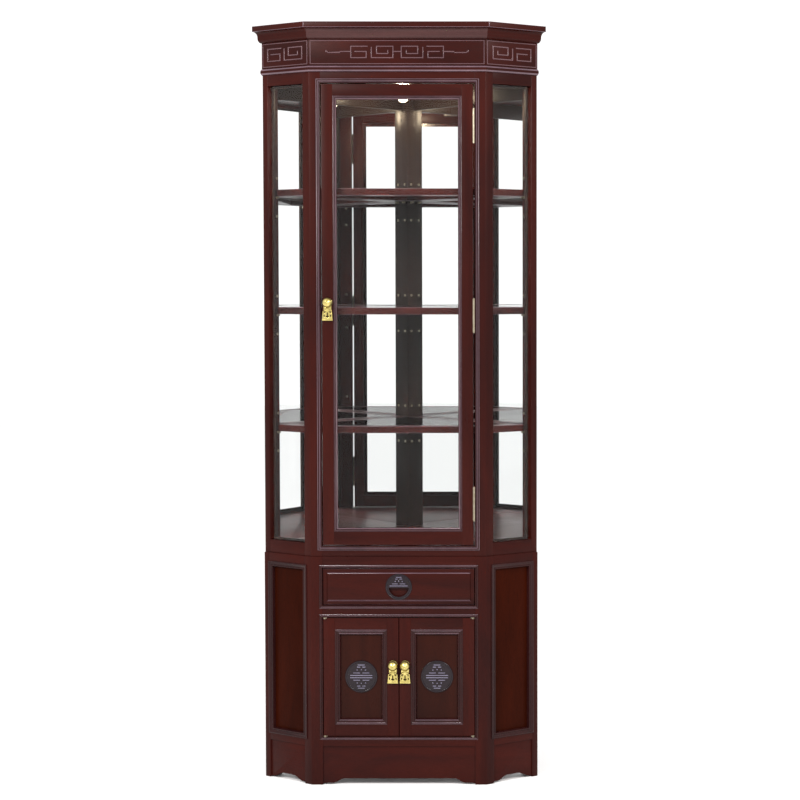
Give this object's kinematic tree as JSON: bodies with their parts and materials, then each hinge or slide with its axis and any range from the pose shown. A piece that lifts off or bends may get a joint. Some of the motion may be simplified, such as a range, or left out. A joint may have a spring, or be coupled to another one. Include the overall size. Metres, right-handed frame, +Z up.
{
  "type": "china cabinet",
  "caption": "Corner china cabinet with a canted front: glazed display section with door, shelves and mirrors, on a base with doors and drawer.",
  "frame": {"origin": "on the floor, under the middle of the bounding box", "axes": "+Z up; the front faces -Y; the two wall faces meet at the back corner at +Y"},
  "size_m": [0.7674, 0.483, 1.98],
  "materials": {
    "rosewood": "dark red-brown lacquer, satin gloss",
    "dark_rosewood": "darker red-brown lacquer, satin gloss",
    "drawer_wood": "plain wood, thin matt lacquer",
    "clear_glass": "clear float glass",
    "silvered_glass": "silvered mirror glass",
    "brass": "polished and lacquered",
    "lamp_enamel": "satin enamel",
    "lamp_glow": "warm white capsule bulb, lit",
    "black_rubber": "matt",
    "catch_plastic": "dark brown moulded plastic"
  },
  "bodies": {
    "cabinet": {"base_front_posts": "rosewood", "base_outer_posts": "rosewood", "base_back_post": "rosewood", "base_rails": "rosewood", "base_beads": "dark_rosewood", "front_apron": "rosewood", "side_aprons": "rosewood", "side_panels": "dark_rosewood", "side_panel_beads": "rosewood", "base_back_panels": "dark_rosewood", "base_floor": "rosewood", "base_deck": "rosewood", "drawer_runners": "drawer_wood", "upper_front_posts": "rosewood", "upper_outer_posts": "rosewood", "upper_back_post": "rosewood", "upper_rails": "rosewood", "mirror_rails": "rosewood", "opening_bead": "dark_rosewood", "side_glass": "clear_glass", "glazing_beads": "dark_rosewood", "display_floor": "rosewood", "ceiling_board": "rosewood", "mirrors": "silvered_glass", "back_boards": "dark_rosewood", "shelf_frames": "rosewood", "shelf_glass": "clear_glass", "shelf_pins": "brass", "pin_sleeves": "brass", "frieze_boards": "rosewood", "astragal": "dark_rosewood", "crown": "rosewood", "top_board": "rosewood", "lamp_housing": "lamp_enamel", "lamp_bulb": "lamp_glow", "cord_grommet": "black_rubber", "door_catches": "catch_plastic", "hinge_frame_leaves": "brass", "hinge_pins": "brass", "pivot_plates": "brass"},
    "glass_door": {"door_stiles": "rosewood", "door_rails": "rosewood", "door_bead": "dark_rosewood", "door_glass": "clear_glass", "hinge_door_leaves": "brass", "door_knob": "brass"},
    "left_door": {"left_door_frame": "rosewood", "left_door_panel": "dark_rosewood", "left_door_pivots": "brass", "left_door_knob": "brass"},
    "right_door": {"right_door_frame": "rosewood", "right_door_panel": "dark_rosewood", "right_door_pivots": "brass", "right_door_knob": "brass"},
    "drawer": {"drawer_front": "rosewood", "drawer_box": "drawer_wood", "drawer_bottom": "drawer_wood"},
    "glass_door_drop": {"door_drop": "brass"},
    "left_door_pull": {"left_door_drop": "brass"},
    "right_door_pull": {"right_door_drop": "brass"}
  },
  "joints": [
    {"name": "glass_door_hinge", "type": "hinge", "parent": "cabinet", "child": "glass_door", "pos_m": [0.19675, -0.209, 0], "axis": [0, 0, 1], "range_deg": [0, 105]},
    {"name": "left_door_hinge", "type": "hinge", "parent": "cabinet", "child": "left_door", "pos_m": [-0.193, -0.214, 0], "axis": [0, 0, -1], "range_deg": [0, 110]},
    {"name": "right_door_hinge", "type": "hinge", "parent": "cabinet", "child": "right_door", "pos_m": [0.193, -0.214, 0], "axis": [0, 0, 1], "range_deg": [0, 110]},
    {"name": "drawer_slide", "type": "slide", "parent": "cabinet", "child": "drawer", "axis": [0, -1, 0], "range_m": [0, 0.165]},
    {"name": "glass_door_drop_hinge", "type": "hinge", "parent": "glass_door", "child": "glass_door_drop", "pos_m": [-0.1825, -0.2135, 1.2455], "axis": [-1, 0, 0], "range_deg": [0, 90]},
    {"name": "left_pull_hinge", "type": "hinge", "parent": "left_door", "child": "left_door_pull", "pos_m": [-0.016, -0.2165, 0.2995], "axis": [-1, 0, 0], "range_deg": [0, 90]},
    {"name": "right_pull_hinge", "type": "hinge", "parent": "right_door", "child": "right_door_pull", "pos_m": [0.016, -0.2165, 0.2995], "axis": [-1, 0, 0], "range_deg": [0, 90]}
  ]
}
